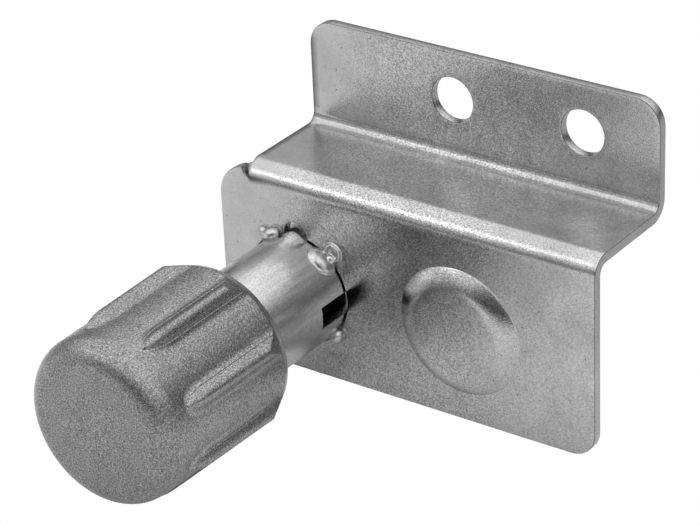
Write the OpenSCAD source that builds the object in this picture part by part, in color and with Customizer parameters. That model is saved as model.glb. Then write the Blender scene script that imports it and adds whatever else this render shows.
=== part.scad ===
// Locking door catch: a stepped sheet-steel bracket that carries a spring bolt
// in a welded tube, pulled back by a ribbed knob.
// Origin: midway between the two bolt holes, on the face that lies on the wall.
// X runs along the bracket, Y points into the wall, Z points up.

/* [Bracket] */
// Thickness of the sheet
sheet_t = 2; // [1.5:0.1:3]
// Width of the upper flange and of the shelf
flange_w = 76; // [66:1:120]
// Height of the whole bracket
bracket_h = 61.5; // [58:0.5:90]
// Height of the lower plate, up to the top of the shelf
plate_h = 40.5; // [38:0.5:44]
// Distance from the front of the upper flange to the front of the lower plate
step_y = 22.5; // [18:0.5:30]
// How far the lower plate reaches past the flange, on the left
ear_w = 6; // [4:0.5:12]
// Inner radius of both bends
bend_r = 2; // [0.5:0.1:2.4]
// Radius of the flange's and the plate's corners
corner_r = 5; // [2:0.5:8]
// Radius of the ear's upper corner
ear_r = 7; // [2:0.5:7]
// How far the ear's top lies below the top of the shelf
ear_drop = 0.5; // [0:0.1:1]
// Diameter of each bolt hole
bolt_hole_d = 9; // [5:0.5:11]
// Distance between the bolt holes
bolt_spacing = 28; // [20:1:36]
// Distance from the right hole to the right edge
bolt_edge_x = 16; // [10:0.5:20]
// Distance from the holes to the upper edge
bolt_edge_z = 9.5; // [8:0.5:12]

/* [Embossed boss] */
// Diameter of the boss where it leaves the plate
boss_d = 26; // [22:0.5:28]
// Diameter of the flat top of the boss
boss_top_d = 19; // [14:0.5:21]
// How far the boss stands out of the plate
boss_h = 1.9; // [0.6:0.1:2.2]
// Distance from the boss to the plate's right edge
boss_x = 28.5; // [20:0.5:32]
// Distance from the boss to the plate's lower edge
boss_z = 18.4; // [16:0.2:22]

/* [Spring tube] */
// Outer diameter of the tube
tube_d = 22; // [20:0.5:24]
// Wall of the tube
tube_wall = 1.5; // [1:0.1:2]
// Length of the tube in front of the plate
tube_front = 45; // [40:0.5:47]
// Length of the tube behind the plate
tube_stub = 10; // [8:0.5:12]
// Distance from the tube's axis to the plate's left edge
axis_x = 17.2; // [16:0.1:24]
// Distance from the tube's axis to the plate's lower edge
axis_z = 17.2; // [15:0.1:20]
// Length of the guide slots in front of the plate
slot_front = 7.4; // [5:0.1:12]
// Length of the rolled lip at the outer end
lip_l = 1.2; // [0.8:0.1:2]
// Depth of the rolled lip inside the bore
lip_in = 1.2; // [0.6:0.1:1.5]
// Radius of the pressed-out locating lug
lug_r = 2.2; // [1.5:0.1:2.4]
// How far the lug stands out of the tube
lug_out = 2; // [1:0.1:2.2]
// Length of the lug in front of the plate
lug_l = 4.5; // [3:0.1:6]
// Radius of the key notch in the plate
notch_r = 2.6; // [2.5:0.1:3]

/* [Bolt and rod] */
// Diameter of the bolt's nose
nose_d = 14; // [10:0.5:16]
// How far the nose stands out of the tube when the bolt is out
nose_out = 12; // [8:0.5:12.4]
// Length of the cone at the nose's tip
nose_tip = 2; // [1:0.1:3]
// Length of the bolt's guide collar
collar_l = 9; // [7:0.5:10]
// Diameter of the pull rod
rod_d = 8; // [6:0.5:9]
// How deep the rod sits in the bolt
rod_socket = 8; // [7:0.1:8.5]
// Diameter of the guide pin
pin_d = 4; // [3:0.1:5]
// Travel of the bolt
travel = 12; // [8:0.5:12]

/* [Spring] */
// Diameter of the spring wire
wire_d = 1.4; // [1:0.1:1.6]
// Mean diameter of the spring
coil_d = 12; // [11.5:0.1:13]
// Number of turns that work
coil_turns = 11; // [6:1:13]
// Rise of the closed turn at each end
end_rise = 1.9; // [1.9:0.1:2.4]

/* [Knob] */
// Distance from the plate to the knob's rear face
knob_gap = 25; // [20:0.5:30]
// Length of the knob
knob_l = 35.5; // [33:0.5:42]
// Diameter at the rear of the grip, between the ribs
knob_rear_d = 33; // [32.4:0.1:34]
// Diameter at the front of the grip
knob_front_d = 32.4; // [31.6:0.1:32.8]
// Radius of the front edge
knob_edge_r = 4.5; // [2:0.1:6]
// Thickness of the front wall
knob_wall = 5.5; // [4:0.1:7]
// Diameter of the rear face
rim_d = 31.6; // [30:0.1:32.2]
// Slope of the turned chamfer behind the ribs, from the axis
rim_a = 23; // [15:1:40]
// Number of ribs
ribs = 8; // [6:1:10]
// Direction of the first rib, seen from the front
rib_a = 20.5; // [0:0.5:45]
// Radius of each rib's back
rib_r = 2; // [1.9:0.1:2.4]
// Height of a rib at the rear
rib_h = 1.8; // [1:0.1:2]
// Height of a rib at its front end
rib_h_front = 1.6; // [0.8:0.1:1.8]
// Length of the ribs from the rear face
rib_l = 28.5; // [20:0.5:30]
// Length of the threaded insert
insert_l = 8.5; // [7:0.1:8.8]
// Diameter of the threaded insert
insert_d = 13; // [12:0.5:14]
// Diameter of the boss around the insert
hub_d = 19; // [17:0.5:20]
// Width of the jam nut across its flats
nut_af = 13; // [11:0.5:14]
// Thickness of the jam nut
nut_t = 4; // [3:0.1:4.5]

/* [Weld tacks] */
// Radius of a tack's bead
tack_r = 2.4; // [1.5:0.1:3]
// Direction of the tacks from the slots
tack_a = 45; // [40:1:50]

/* [Clearances] */
// Gap between the plate's hole and the tube, on the radius
hole_gap = 0.5; // [0.3:0.1:1]
// Running gap of the bolt in the tube and the rod in its bush, on the radius
run_gap = 0.1; // [0.05:0.01:0.2]
// Gap of a fixed piece in its seat, on the radius
seat_gap = 0.03; // [0.01:0.01:0.05]
// Gap at a stop, so that two bodies never press together
stop_gap = 0.3; // [0.2:0.05:0.6]
// Gap between the guide pin and a side of its slot
slot_gap = 0.2; // [0.1:0.05:0.4]
// Gap between the tube and the knob's bore, on the radius
cup_gap = 0.7; // [0.5:0.1:1.2]
// Gap between the spring and each of its seats
spring_gap = 0.1; // [0.05:0.05:0.3]

/* [Hidden] */
$fn = 96;
over = 1;

// The bracket, in X and Z
right_x = bolt_spacing / 2 + bolt_edge_x;
left_x = right_x - flange_w;
ear_x = left_x - ear_w;
top_z = bolt_edge_z;
bottom_z = top_z - bracket_h;
shelf_z = bottom_z + plate_h;
bend_out = bend_r + sheet_t;
plate_y = -step_y - sheet_t;
plate_top_z = shelf_z - bend_out;

// Stations along the tube's axis, counted outwards from the plate's front face
tube_back_s = -sheet_t - tube_stub;
tube_r = tube_d / 2;
bore_r = tube_r - tube_wall;
pin_s = slot_front - stop_gap - pin_d / 2 - travel;
collar_front_s = pin_s + collar_l / 2;
collar_back_s = pin_s - collar_l / 2;
nose_s = tube_back_s - nose_out;
bush_front_s = tube_front - lip_l;
bush_l = 5;
bush_back_s = bush_front_s - bush_l;
nut_s = bush_front_s + stop_gap;
hub_s = nut_s + nut_t;
knob_front_s = knob_gap + knob_l;
cup_floor_s = knob_front_s - knob_wall;
rod_end_s = hub_s + insert_l - 1.4;
rod_start_s = collar_front_s - rod_socket;
slot_w = pin_d + 2 * slot_gap;
rod_r = rod_d / 2;

// Puts a shape on the tube's axis: local Z points out of the plate, local Y up
module on_axis() {
    translate([ear_x + axis_x, plate_y, bottom_z + axis_z])
        rotate([90, 0, 0])
            children();
}

// A ring or a disc from one station to the next
module barrel(r, s0, s1, hole = 0) {
    translate([0, 0, s0])
        difference() {
            cylinder(h = s1 - s0, r = r);
            if (hole > 0)
                translate([0, 0, -over])
                    cylinder(h = s1 - s0 + 2 * over, r = hole);
        }
}

// The material outside a rounded corner, at the origin's quadrant sx, sz
module corner_waste(r, sx, sz) {
    difference() {
        translate([sx > 0 ? 0 : -r - over, sz > 0 ? 0 : -r - over])
            square(r + over);
        circle(r = r);
    }
}

// Lifts an outline in X and Z into a sheet whose back is at y
module sheet_at(y) {
    translate([0, y, 0])
        rotate([90, 0, 0])
            linear_extrude(height = sheet_t)
                children();
}

module lower_outline() {
    difference() {
        union() {
            translate([ear_x, bottom_z])
                square([right_x - ear_x, plate_h - bend_out]);
            translate([ear_x, bottom_z])
                square([ear_w, plate_h - ear_drop]);
        }
        translate([ear_x + corner_r, bottom_z + corner_r])
            corner_waste(corner_r, -1, -1);
        translate([right_x - corner_r, bottom_z + corner_r])
            corner_waste(corner_r, 1, -1);
        translate([ear_x + ear_r, shelf_z - ear_drop - ear_r])
            corner_waste(ear_r, -1, 1);
    }
}

module upper_outline() {
    difference() {
        translate([left_x, shelf_z + bend_r])
            square([flange_w, top_z - shelf_z - bend_r]);
        translate([left_x + corner_r, top_z - corner_r])
            corner_waste(corner_r, -1, 1);
        translate([right_x - corner_r, top_z - corner_r])
            corner_waste(corner_r, 1, 1);
    }
}

// A quarter of a bent sheet in Y and Z, in the quadrant sy, sz
module bend(sy, sz) {
    intersection() {
        difference() {
            circle(r = bend_out);
            circle(r = bend_r);
        }
        translate([sy > 0 ? 0 : -bend_out - over, sz > 0 ? 0 : -bend_out - over])
            square(bend_out + over);
    }
}

// The shelf with its two bends, seen from the side
module shelf_profile() {
    translate([plate_y + bend_out, shelf_z - bend_out])
        bend(-1, 1);
    translate([plate_y + bend_out, shelf_z - sheet_t])
        square([step_y - bend_out - bend_r, sheet_t]);
    translate([-bend_out, shelf_z + bend_r])
        bend(1, -1);
}

// The boss as a cone that starts at station s and reaches back by tail
module boss_cone(s, tail) {
    translate([right_x - boss_x, plate_y, bottom_z + boss_z])
        rotate([90, 0, 0])
            rotate_extrude()
                polygon([
                    [0, s - tail],
                    [boss_d / 2, s - tail],
                    [boss_d / 2, s],
                    [boss_top_d / 2, s + boss_h],
                    [0, s + boss_h]
                ]);
}

module mounting_bracket() {
    color("silver")
        difference() {
            union() {
                sheet_at(plate_y + sheet_t)
                    lower_outline();
                sheet_at(0)
                    upper_outline();
                translate([left_x, 0, 0])
                    rotate([90, 0, 90])
                        linear_extrude(height = flange_w)
                            shelf_profile();
                boss_cone(0, sheet_t / 2);
            }
            boss_cone(-sheet_t, over);
            for (side = [-1, 1])
                translate([side * bolt_spacing / 2, over, 0])
                    rotate([90, 0, 0])
                        cylinder(h = sheet_t + 2 * over, r = bolt_hole_d / 2);
            on_axis() {
                barrel(tube_r + hole_gap, -sheet_t - over, over);
                translate([0, tube_r + hole_gap, 0])
                    barrel(notch_r, -sheet_t - over, over);
            }
        }
}

// The locating lug: a round bead that sinks into the tube in front of the plate
module locating_lug() {
    lug_y = tube_r + lug_out - lug_r;
    translate([0, lug_y, 0])
        barrel(lug_r, -sheet_t, lug_l / 4);
    translate([0, lug_y, lug_l / 4])
        sphere(r = lug_r);
    translate([0, lug_y, lug_l / 4])
        rotate([atan2(lug_out, lug_l * 3 / 4), 0, 0])
            cylinder(h = lug_l, r = lug_r);
}

module spring_tube() {
    color("gainsboro")
        on_axis()
            difference() {
                union() {
                    barrel(tube_r, tube_back_s, tube_front);
                    locating_lug();
                }
                barrel(bore_r, tube_back_s - over, bush_front_s);
                barrel(bore_r - lip_in, bush_front_s - over, tube_front + over);
                translate([-tube_d, -slot_w / 2, tube_back_s - over])
                    cube([2 * tube_d, slot_w, slot_front - tube_back_s + over]);
            }
}

// A weld tack in direction a: one bead on the tube and one on the plate
module weld_tack(a, size, reach) {
    color("whitesmoke")
        on_axis()
            rotate(a)
                difference() {
                    union() {
                        translate([tube_r - size / 4, 0, reach])
                            sphere(r = size);
                        translate([tube_r + size / 2, 0, size / 8])
                            sphere(r = size);
                    }
                    barrel(tube_r, -tube_d, tube_d);
                    barrel(tube_d, -tube_d, 0);
                }
}

module plunger_bolt() {
    color("lightgray")
        on_axis()
            difference() {
                union() {
                    barrel(bore_r - run_gap, collar_back_s, collar_front_s);
                    barrel(nose_d / 2, nose_s + nose_tip, collar_back_s + over);
                    translate([0, 0, nose_s])
                        cylinder(h = nose_tip, r1 = nose_d / 2 - nose_tip, r2 = nose_d / 2);
                }
                barrel(rod_r + seat_gap, rod_start_s - seat_gap, collar_front_s + over);
                pin_bore();
            }
}

// The cross hole that the guide pin sits in
module pin_bore() {
    translate([0, 0, pin_s])
        rotate([0, 90, 0])
            cylinder(h = tube_d, r = pin_d / 2 + seat_gap, center = true);
}

module pull_rod() {
    chamfer = 0.8;
    color("darkgray")
        on_axis()
            difference() {
                union() {
                    barrel(rod_r, rod_start_s, rod_end_s - chamfer);
                    translate([0, 0, rod_end_s - chamfer])
                        cylinder(h = chamfer, r1 = rod_r, r2 = rod_r - chamfer);
                }
                pin_bore();
            }
}

module guide_pin() {
    chamfer = 0.4;
    half = tube_r - stop_gap;
    color("dimgray")
        on_axis()
            translate([0, 0, pin_s])
                rotate([0, 90, 0]) {
                    barrel(pin_d / 2, -half + chamfer, half - chamfer);
                    for (side = [0, 180])
                        rotate([side, 0, 0])
                            translate([0, 0, half - chamfer])
                                cylinder(h = chamfer, r1 = pin_d / 2, r2 = pin_d / 2 - chamfer);
                }
}

// The spring's wire: turns of rising pitch between two closed end turns
spring_rings = 8;
wire_sides = 6;
spring_turns = coil_turns + 2;
spring_s0 = collar_front_s + spring_gap + wire_d / 2;
spring_s1 = bush_back_s - spring_gap - wire_d / 2;
coil_rise = (spring_s1 - spring_s0 - 2 * end_rise) / coil_turns;

// Height of the wire after t turns
function spring_h(t) =
    t < 1 ? t * end_rise
    : t > spring_turns - 1 ? end_rise * (t - spring_turns + 2) + coil_turns * coil_rise
    : end_rise + (t - 1) * coil_rise;

function spring_p(t) = [
    coil_d / 2 * cos(360 * t),
    coil_d / 2 * sin(360 * t),
    spring_s0 + spring_h(t)
];

spring_ts = [for (i = [0 : spring_turns * spring_rings]) i / spring_rings];
spring_path = [for (t = spring_ts) spring_p(t)];

// The least gap between one turn and the next, measured on the points
spring_gaps = [
    for (i = [0 : len(spring_path) - spring_rings - 1])
        norm(spring_path[i + spring_rings] - spring_path[i]) - wire_d
];
echo(spring_least_gap = min(spring_gaps));

// One ring of the wire: out from the axis and along it
function wire_ring(i) = [
    for (k = [0 : wire_sides - 1])
        let (a = 360 * k / wire_sides, t = 360 * spring_ts[i], w = wire_d / 2)
        spring_path[i] + w * [cos(a) * cos(t), cos(a) * sin(t), sin(a)]
];

module compression_spring() {
    rings = len(spring_path);
    n = wire_sides;
    points = [for (i = [0 : rings - 1]) each wire_ring(i)];
    sides = [
        for (i = [0 : rings - 2], k = [0 : n - 1])
            let (a = i * n + k, b = i * n + (k + 1) % n)
            each [[a, a + n, b], [b, a + n, b + n]]
    ];
    start = [for (k = [1 : n - 2]) [0, k, k + 1]];
    last = (rings - 1) * n;
    end = [for (k = [1 : n - 2]) [last, last + k + 1, last + k]];
    color("slategray")
        on_axis()
            polyhedron(points = points, faces = concat(sides, start, end));
}

module end_bush() {
    color("goldenrod")
        on_axis()
            barrel(bore_r - seat_gap, bush_back_s, bush_front_s, rod_r + run_gap);
}

module jam_nut() {
    corner_r = nut_af / 2 / cos(30);
    chamfer = corner_r - nut_af / 2;
    color("gray")
        on_axis()
            difference() {
                intersection() {
                    translate([0, 0, nut_s])
                        cylinder(h = nut_t, r = corner_r, $fn = 6);
                    rotate_extrude()
                        polygon([
                            [0, nut_s],
                            [nut_af / 2, nut_s],
                            [corner_r + 0.1, nut_s + chamfer / 2],
                            [corner_r + 0.1, hub_s - chamfer / 2],
                            [nut_af / 2, hub_s],
                            [0, hub_s]
                        ]);
                }
                barrel(rod_r + seat_gap, nut_s - over, hub_s + over);
            }
}

// The insert's outside, with the groove that the casting grips
module insert_body() {
    groove = insert_l / 3;
    barrel(insert_d / 2 - 1, hub_s, hub_s + insert_l);
    barrel(insert_d / 2, hub_s, hub_s + groove);
    barrel(insert_d / 2, hub_s + 2 * groove, hub_s + insert_l);
}

module knob_insert() {
    color("dimgray")
        on_axis()
            difference() {
                insert_body();
                barrel(rod_r + seat_gap, hub_s - over, rod_end_s + stop_gap);
            }
}

// The knob's body: a slight taper with a rounded front edge
module knob_body() {
    rear_r = knob_rear_d / 2;
    front_r = knob_front_d / 2;
    edge_s = knob_front_s - knob_edge_r;
    rotate_extrude()
        polygon(concat(
            [
                [0, knob_gap - over],
                [rear_r, knob_gap - over]
            ],
            [
                for (a = [0 : 7.5 : 90])
                    [front_r - knob_edge_r * (1 - cos(a)), edge_s + knob_edge_r * sin(a)]
            ],
            [[0, knob_front_s]]
        ));
}

// One rib: a round bar with a round nose, sunk in the body
module rib() {
    front_s = knob_gap + rib_l - rib_r;
    length = front_s - knob_gap;
    taper = (knob_rear_d - knob_front_d) / 2 / (knob_l - knob_edge_r);
    rear_x = knob_rear_d / 2 + rib_h - rib_r;
    front_x = knob_rear_d / 2 - taper * length + rib_h_front - rib_r;
    lean = atan2(front_x - rear_x, length);
    translate([front_x, 0, front_s]) {
        sphere(r = rib_r);
        rotate([0, lean, 0])
            rotate([180, 0, 0])
                cylinder(h = length + 2, r = rib_r);
    }
}

// The cone that the rear is turned to
module rim_cone() {
    reach = knob_l + over;
    rotate_extrude()
        polygon([
            [0, knob_gap],
            [rim_d / 2, knob_gap],
            [rim_d / 2 + reach * tan(rim_a), knob_gap + reach],
            [0, knob_gap + reach]
        ]);
}

module knob() {
    cup_r = tube_r + cup_gap;
    color("darkgray")
        on_axis()
            difference() {
                intersection() {
                    union() {
                        knob_body();
                        for (i = [0 : ribs - 1])
                            rotate(rib_a + i * 360 / ribs)
                                rib();
                    }
                    rim_cone();
                }
                difference() {
                    barrel(cup_r, knob_gap - over, cup_floor_s);
                    barrel(hub_d / 2, hub_s, cup_floor_s + over);
                }
                insert_body();
            }
}

mounting_bracket();
spring_tube();
weld_tack(tack_a, tack_r * 1.15, 2.2);  // weld_tack_upper_right
weld_tack(180 - tack_a, tack_r, 0.8);  // weld_tack_upper_left
weld_tack(180 + tack_a, tack_r, 0.8);  // weld_tack_lower_left
weld_tack(-tack_a, tack_r, 0.8);  // weld_tack_lower_right
plunger_bolt();
pull_rod();
guide_pin();
compression_spring();
end_bush();
jam_nut();
knob_insert();
knob();
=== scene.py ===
import math

import bmesh
import bpy
import numpy as np
from mathutils import Matrix, Vector, kdtree, noise
from mathutils.geometry import delaunay_2d_cdt


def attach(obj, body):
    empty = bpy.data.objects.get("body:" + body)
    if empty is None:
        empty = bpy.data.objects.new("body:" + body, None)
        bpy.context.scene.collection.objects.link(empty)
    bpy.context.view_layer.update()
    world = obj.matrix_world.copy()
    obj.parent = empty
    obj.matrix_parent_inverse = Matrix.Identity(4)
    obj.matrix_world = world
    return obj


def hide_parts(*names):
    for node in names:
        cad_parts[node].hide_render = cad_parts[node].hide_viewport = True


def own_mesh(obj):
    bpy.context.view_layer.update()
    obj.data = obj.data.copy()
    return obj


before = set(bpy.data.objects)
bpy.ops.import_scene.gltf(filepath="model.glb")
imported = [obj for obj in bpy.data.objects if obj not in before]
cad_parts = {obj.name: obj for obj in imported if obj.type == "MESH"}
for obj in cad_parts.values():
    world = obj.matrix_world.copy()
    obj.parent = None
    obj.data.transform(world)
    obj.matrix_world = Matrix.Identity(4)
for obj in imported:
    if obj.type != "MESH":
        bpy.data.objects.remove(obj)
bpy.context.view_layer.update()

MM = 0.001

# Sizes are in millimetres, the same as the solids'. A name in _S is a distance in front of the lower plate,
# measured along the tube's axis, and one in _V is a length along the sheet's front from its bottom edge up.

# The bracket
SHEET_T = 2.0
LEFT_X = -46.0
RIGHT_X = 30.0
EAR_X = -52.0
TOP_Z = 9.5
BOTTOM_Z = -52.0
SHELF_Z = -11.5
STEP_Y = 22.5
BEND_R = 2.0
CORNER_R = 5.0
EAR_R = 7.0
EAR_DROP = 0.5
EAR_START = math.radians(102)
BOLT_X = 14.0
BOLT_HOLE_R = 4.5
FRONT_EDGE_R = 0.18
BACK_EDGE_R = 0.12
BEND_OUT = BEND_R + SHEET_T
PLATE_Y = -STEP_Y - SHEET_T
BEND_V = SHELF_Z - BEND_OUT - BOTTOM_Z
SHELF_V = BEND_V + BEND_OUT * math.pi / 2
INNER_V = SHELF_V + STEP_Y + SHEET_T - BEND_OUT - BEND_OUT
FLANGE_V = INNER_V + BEND_R * math.pi / 2
TOP_V = FLANGE_V + TOP_Z - SHELF_Z - BEND_R
EAR_V = SHELF_Z - EAR_DROP - BOTTOM_Z

# The boss: a step at the foot, a wall that leans back, a rounded shoulder, and less radius on one diagonal
BOSS_X = 1.5
BOSS_Z = -33.6
BOSS_V = BOSS_Z - BOTTOM_Z
BOSS_R = 13.0
BOSS_FLAT = 0.3
BOSS_FLAT_TURN = math.radians(52)
BOSS_STEP = 0.1
BOSS_STEP_FROM = -0.06
BOSS_STEP_RUN = 0.14
BOSS_FOOT = 0.4
BOSS_FOOT_SLOPE = 0.74
BOSS_TOP_SLOPE = 0.3
BOSS_WALL = 3.25
BOSS_SHOULDER = 0.8

# The tube, its hole and notch in the plate, its slots and its pressed lug
AXIS_X = -34.8
AXIS_Z = -34.8
AXIS_V = AXIS_Z - BOTTOM_Z
TUBE_R = 11.0
BORE_R = 9.5
TUBE_BACK_S = -12.0
TUBE_FRONT_S = 45.0
LIP_S = TUBE_FRONT_S - 1.3
LIP_DEPTH = 1.2
SLOT_END_S = 7.4
SLOT_W = 4.4
HOLE_R = 11.22
NOTCH_R = 2.6
LUG_OUT = 1.5
LUG_HALF_W = 3.0
LUG_TURN = math.radians(91)

# The bolt
NOSE_TIP_S = -24.0
NOSE_R = 7.0
NOSE_CONE = 2.0
COLLAR_BACK_S = -11.4
COLLAR_FRONT_S = -2.4
COLLAR_R = 9.4
SOCKET_R = 4.03
SOCKET_S = -10.4

# The spring
SPRING_TURNS = 13
SPRING_WIRE_R = 0.7
SPRING_COIL_R = 6.0
SPRING_BACK_S = -1.6
SPRING_FRONT_S = 38.1
SPRING_END_RISE = 1.9

# The knob
KNOB_BACK_S = 25.0
KNOB_FRONT_S = 60.5
KNOB_REAR_R = 16.5
KNOB_FRONT_R = 16.2
KNOB_EDGE_R = 4.5
KNOB_CROWN = 0.15
KNOB_BORE_R = 11.7
CUP_FLOOR_S = 55.0
RIM_R = 15.8
CHAMFER_SLOPE = 0.42
HUB_R = 9.5
HUB_S = 48.1
SEAT_R = 6.55
SEAT_S = 56.6
RIBS = 8
RIB_TURN = math.radians(20.6)
RIB_H = 1.85
RIB_H_FRONT = 1.6
RIB_HALF_W = 1.95
RIB_NOSE_S = 48.0
RIB_TIP_S = 53.5
RIB_FOOT = 0.45
RIB_FOOT_W = 1.1
RIB_PITCH = 2 * math.pi / RIBS
KNOB_UNEVEN = 0.035

# The weld beads' mesh, and how uneven their skin is
BEAD_VOXEL = 0.13
BEAD_UNEVEN = 0.08

# The sheet's mesh: how near inner points may lie to each other and to its outline, and how close the grid is
# where the ear meets the bend
LEAST_GAP = 0.06
RIM_GAP = 0.3
FINE_GRID = 0.26

# Rings of points on the boss: how many points, and how many millimetres inside its foot
BOSS_RINGS = [
    (120, (0.0, 0.7, 1.4, 2.1, 2.8, 3.4, 4.2, 5.6)),
    (240, (-0.9, -0.3, -0.16, 0.3)),
    (360, (-0.08, 0.0, 0.08, 0.16)),
    (24, (BOSS_R - 1.5, BOSS_R - 3.0, BOSS_R - 4.5, BOSS_R - 6.0)),
]

# Columns of the knob's mesh on a rib and between two ribs
ON_RIB = 29
BETWEEN_RIBS = 31

# The scratch on the plate: radius from the tube's axis, width, and reach to the right of the axis
SCRATCH_R = 15.9
SCRATCH_W = 0.14
SCRATCH_X = (4.4, 12.4)

# Along X, how much of the grain shows: little at the plate's left end, most in the middle
GRAIN_X = (-42, RIGHT_X)
GRAIN_SHARE = [(0.0, 0.12), (0.22, 1.0), (0.6, 1.0), (0.78, 0.5)]

# Along Z, the upper flange is a little rougher than the rest
FLANGE_ROUGH_Z = (-6, 2)
FLANGE_ROUGH = 0.08

# Along Y, where the knob's turned chamfer takes over, and where its face, painted a little darker, turns
# into its side, painted lighter
CHAMFER_Y = (PLATE_Y - 26.9, PLATE_Y - 26.5)
CHAMFER_TONE = (0.68, 0.68, 0.68)
CHAMFER_SHARE = 0.75
KNOB_SIDE_Y = (PLATE_Y - 60, PLATE_Y - 56)
KNOB_PAINTED_SHADE_AND_LIGHT = [(0.0, 0.93), (1.0, 1.12)]

# Sizes of the marks in the materials, in millimetres
GRAIN = 0.3
CLOUD = 8
PATCH = 26
PIT = 0.55
DRAWN = 1.0
FRECKLE = 0.9
CAST_CLOUD = 5
TOOL_RING = 0.5
TOOL_GRAIN = 0.4
WIRE_MARK = 0.5
PAPER_TOOTH = 0.8

# Painted shade and dirt: the tone that is left where they are full, then how much lies where, from 0 to 1:
# dark lines along the sheet's edges, painted shade and dirt in the crease and the crease's place in its bend
# in degrees, painted shade in the ear's valley, painted shadow in the gap round the tube and beside its
# notch, and painted shade in the tube's bore and on its slot walls
SHADE_AND_DIRT_TONE = 0.06
EDGE_LINE_DARKNESS = 0.8
CREASE_SHADE_AND_DIRT = 0.6
CREASE_TURN = 55
VALLEY_SHADE = 0.75
GAP_SHADOW = 0.95
NOTCH_GAP_SHADOW = 0.3
BORE_SHADE = 0.62
SLOT_WALL_SHADE = 0.1

# The sky's brightness at heights from -1, straight down, to 1, straight up
SKY_STRENGTH = 1.55
SKY = [(-1.0, 1.0), (-0.25, 0.8), (-0.08, 0.25), (0.17, 0.2), (0.33, 0.55), (0.5, 0.8), (0.75, 1.0)]

# The floor: half its width in metres, and in millimetres its gap to the part and where painted shade darkens
# it along Y
FLOOR_SIZE = 4.0
FLOOR_GAP = 0.05
FLOOR_GLOW = 0.14
FLOOR_SHADE_Y = (-30, 40)

# Light boxes: place and size in metres, watts. Both face the lit point.
KEY_BOX = ((-0.52, -0.58, 0.6), (0.2, 0.2), 0.38)
SIDE_BOX = ((-0.9, -0.53, 0.12), (0.45, 0.26), 0.4)
LIT_POINT = (-0.02, -0.03, -0.03)

# The dark part of the studio in front and to the right: its direction, the cosines it spans, how dark it is
DARK_FRONT = (0.25, -0.93, 0.2)
DARK_FRONT_REACH = (0.87, 0.96)
DARK_FRONT_SHARE = 0.8

# The dark part behind: how far back it starts and is full, how far up it fades and ends, how dark it is
DARK_BEHIND_Y = (0.2, 0.6)
DARK_BEHIND_Z = (0.3, 0.65)
DARK_BEHIND_SHARE = 0.6

# The camera, fitted to the photo: millimetres and degrees
CAMERA_PLACE = (267.41, -419.67, 232.58)
CAMERA_TARGET = (-22.475, -24.5, -25.965)
CAMERA_ROLL = -2.561
CAMERA_LENS = 154.34
CAMERA_SENSOR = 36


def smooth(t):
    """0 up to t = 0, 1 from t = 1, with a soft start and end."""
    t = min(1.0, max(0.0, t))
    return t * t * (3 - 2 * t)


def on_axis(r, turn, s):
    """A point at radius r from the tube's axis, turn radians from +X, s in front of the plate."""
    return (AXIS_X + r * math.cos(turn), PLATE_Y - s, AXIS_Z + r * math.sin(turn))


def make_piece(name, points, faces, body, nodes, material, sharp, shade_and_dirt=None):
    """A piece from points in millimetres, that rides on body and stands for the CAD nodes.

    Edges sharper than sharp degrees stay hard. The last argument holds the painted shade and dirt at each
    point, from 0 to 1.
    """
    mesh = bpy.data.meshes.new(name)
    mesh.from_pydata([[c * MM for c in p] for p in points], [], faces)
    # the painted shade and dirt ride on the mesh as a value at each point
    if shade_and_dirt is not None:
        layer = mesh.attributes.new("shade_and_dirt", "FLOAT", "POINT")
        layer.data.foreach_set("value", shade_and_dirt)
    clean = bmesh.new()
    clean.from_mesh(mesh)
    bmesh.ops.remove_doubles(clean, verts=clean.verts, dist=1e-7)
    bmesh.ops.recalc_face_normals(clean, faces=clean.faces)
    clean.to_mesh(mesh)
    clean.free()
    for polygon in mesh.polygons:
        polygon.use_smooth = True
    mesh.set_sharp_from_angle(angle=math.radians(sharp))
    piece = bpy.data.objects.new(name, mesh)
    bpy.context.scene.collection.objects.link(piece)
    piece.data.materials.append(material)
    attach(piece, body)
    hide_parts(*nodes)
    return piece


def rounded(corners, steps):
    """The closed outline through corners (x, y, radius), with an arc at each corner that has one."""
    outline = []
    count = len(corners)
    for i, (x, y, r) in enumerate(corners):
        here = Vector((x, y))
        before = (Vector(corners[i - 1][:2]) - here).normalized()
        after = (Vector(corners[(i + 1) % count][:2]) - here).normalized()
        if r <= 0:
            outline.append(here)
            continue
        half = before.angle(after) / 2
        start = here + before * (r / math.tan(half))
        centre = here + (before + after).normalized() * (r / math.sin(half))
        spoke = start - centre
        sweep = (math.pi - 2 * half) * (1 if after.cross(before) < 0 else -1)
        outline += [centre + Matrix.Rotation(-sweep * k / steps, 2) @ spoke for k in range(steps + 1)]
    return outline


def turned(profile, segments):
    """Points and faces of a closed profile (r, s) turned about the tube's axis."""
    points = []
    for k in range(segments):
        turn = 2 * math.pi * k / segments
        points += [on_axis(r, turn, s) for r, s in profile]
    n = len(profile)
    faces = []
    for k in range(segments):
        a = k * n
        b = (k + 1) % segments * n
        for i in range(n):
            j = (i + 1) % n
            quad = [a + i, b + i, b + j, a + j]
            on_centre = [profile[q % n][0] < 1e-6 for q in quad]
            if on_centre[0] and on_centre[2]:
                continue
            faces.append(quad)
    return points, faces


def resample(outline, spacing):
    """The outline with its long sides cut up, spacing(point) apart."""
    result = []
    count = len(outline)
    for i, start in enumerate(outline):
        end = outline[(i + 1) % count]
        length = (end - start).length
        result.append(start)
        done = 0.0
        while True:
            step = spacing(start.lerp(end, done / length)) if length else 1
            done += step
            if done > length - 0.55 * step:
                break
            result.append(start.lerp(end, done / length))
    return result


def polar(x, y, r, turn):
    """The flat point at radius r from (x, y)."""
    return Vector((x + r * math.cos(turn), y + r * math.sin(turn)))


def circle(x, y, r, count):
    """A hole's outline, clockwise."""
    return [polar(x, y, r, -2 * math.pi * k / count) for k in range(count)]


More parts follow.
